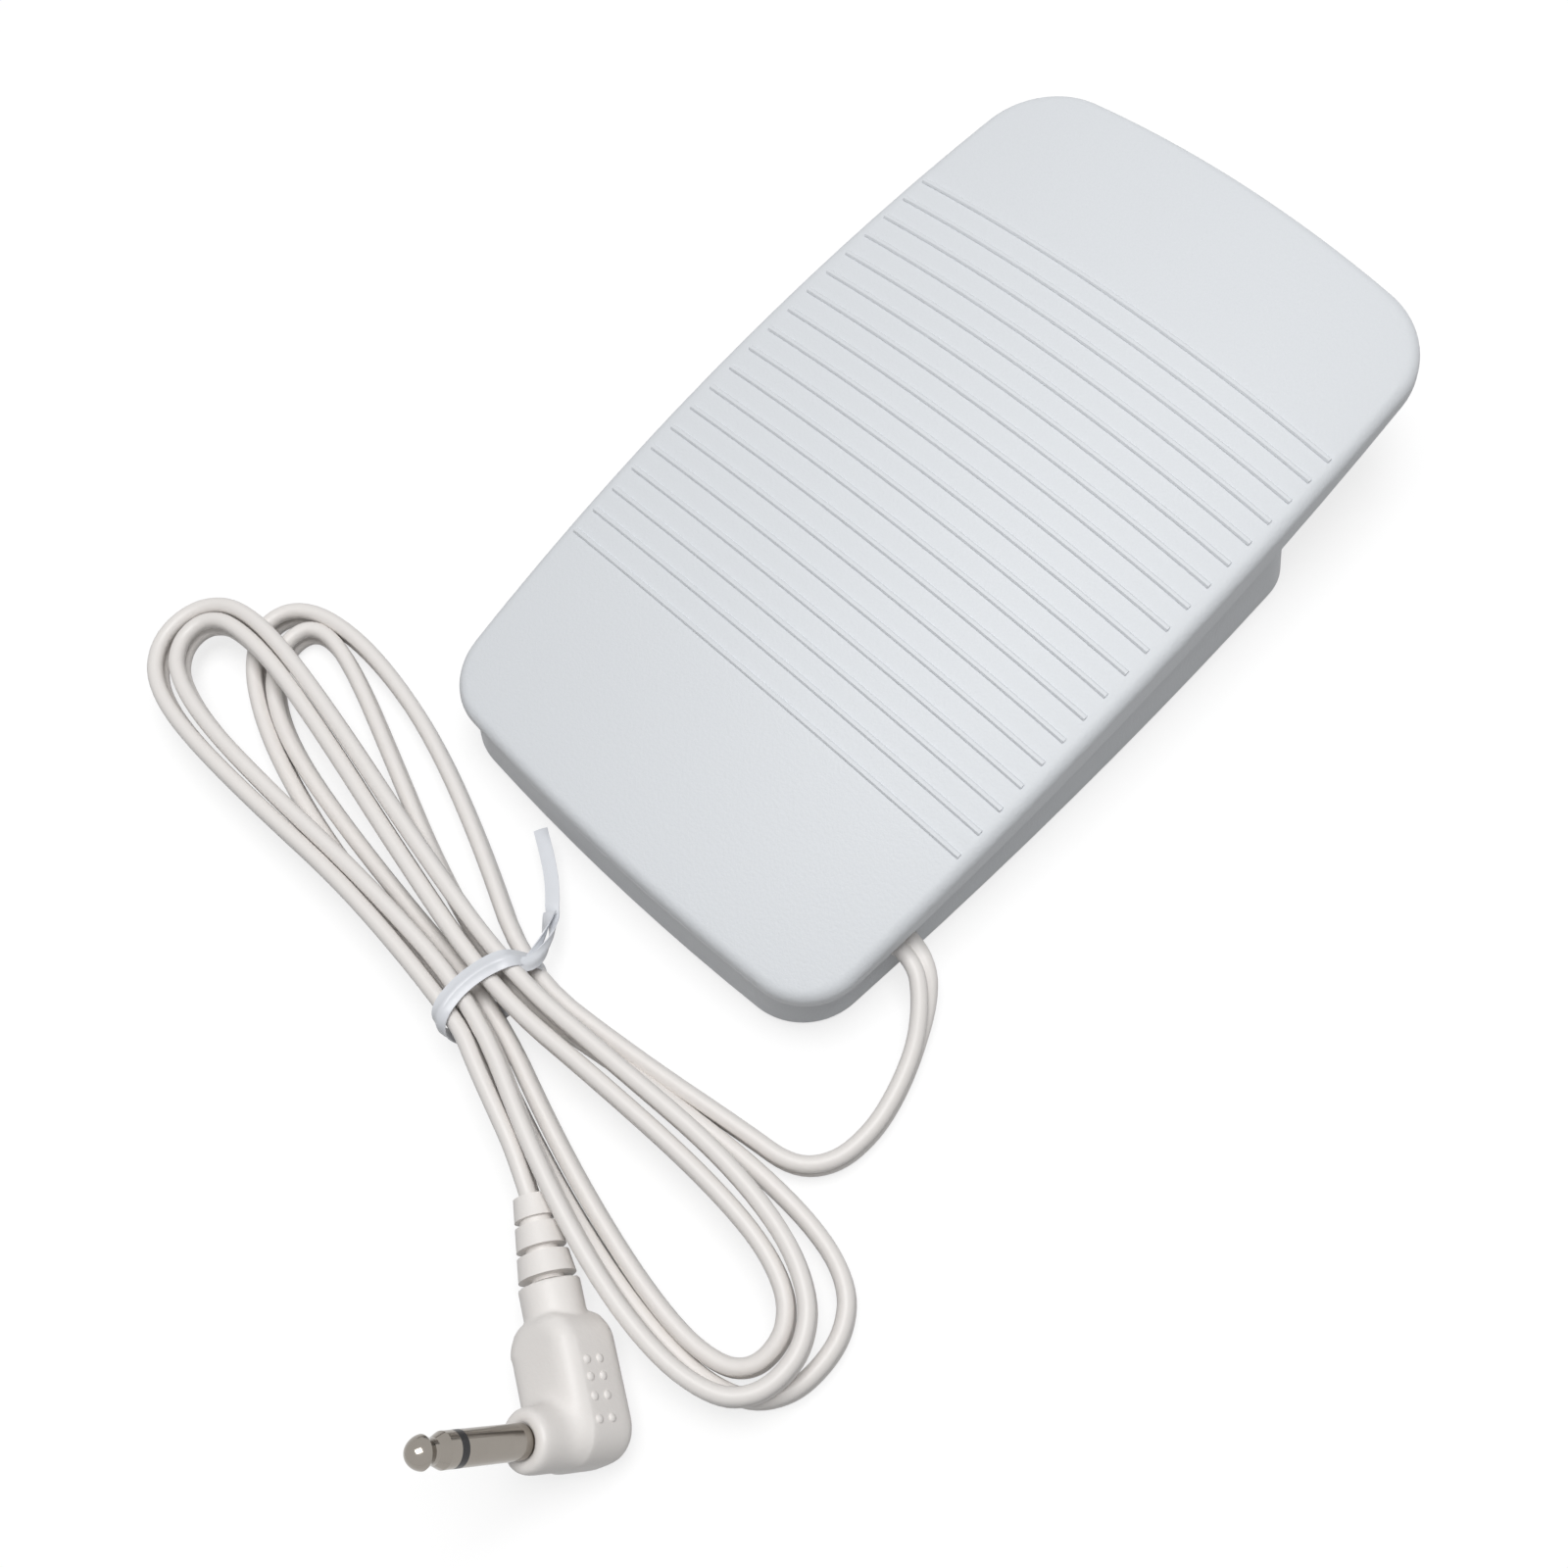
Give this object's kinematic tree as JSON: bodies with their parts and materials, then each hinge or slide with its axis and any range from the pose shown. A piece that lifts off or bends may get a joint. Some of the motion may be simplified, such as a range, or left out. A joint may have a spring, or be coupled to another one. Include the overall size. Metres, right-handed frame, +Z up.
{
  "type": "sewing machine foot pedal",
  "caption": "Foot pedal of a small sewing machine: ribbed hinged treadle on a low tray, with a tied flat cord and an angled jack plug.",
  "frame": {"origin": "on the floor under the middle of the pedal, without its cord", "axes": "+Y along the pedal from its heel, where the cord leaves, to its toe; +Z up from the floor"},
  "size_m": [0.1196, 0.1598, 0.0237],
  "materials": {
    "shell": "fine grain",
    "cord": "satin",
    "plug": "satin",
    "tie": "gloss",
    "nickel": "polished",
    "steel": "satin",
    "control": "satin",
    "board": "satin",
    "feet": "matte"
  },
  "bodies": {
    "base": {"base_tray": "shell", "foot_heel_left": "feet", "foot_heel_right": "feet", "foot_toe_left": "feet", "foot_toe_right": "feet", "hinge_pin": "steel", "pin_clip_left": "steel", "pin_clip_right": "steel", "return_spring_left": "steel", "return_spring_right": "steel", "circuit_board": "board", "board_screws": "steel", "control_housing": "control", "plunger_spring": "steel", "terminal_posts": "nickel", "inner_cord": "cord", "cord_clamp": "shell", "clamp_screws": "steel", "conductors": "cord", "cord_hank": "cord", "cord_lead": "cord", "cord_tail": "cord", "twist_tie": "tie", "plug_body": "plug", "plug_sleeve": "nickel", "plug_insulator": "control", "plug_tip": "nickel"},
    "treadle": {"treadle": "shell"},
    "slider": {"control_plunger": "control"}
  },
  "joints": [
    {"name": "treadle_press", "type": "hinge", "parent": "base", "child": "treadle", "pos_m": [0, -0.0445, 0.0074], "axis": [1, 0, 0], "range_deg": [-1.8, 0], "stiffness_Nm_per_rad": 1, "springref_deg": 8.59, "deforming": ["return_spring_left", "return_spring_right"]},
    {"name": "slider_travel", "type": "slide", "parent": "base", "child": "slider", "axis": [0, 0, 1], "range_m": [-0.00157, 0], "deforming": ["plunger_spring"]}
  ],
  "couplings": [
    {"joint": "slider_travel", "follows": "treadle_press", "m_per_rad": 0.0495}
  ]
}
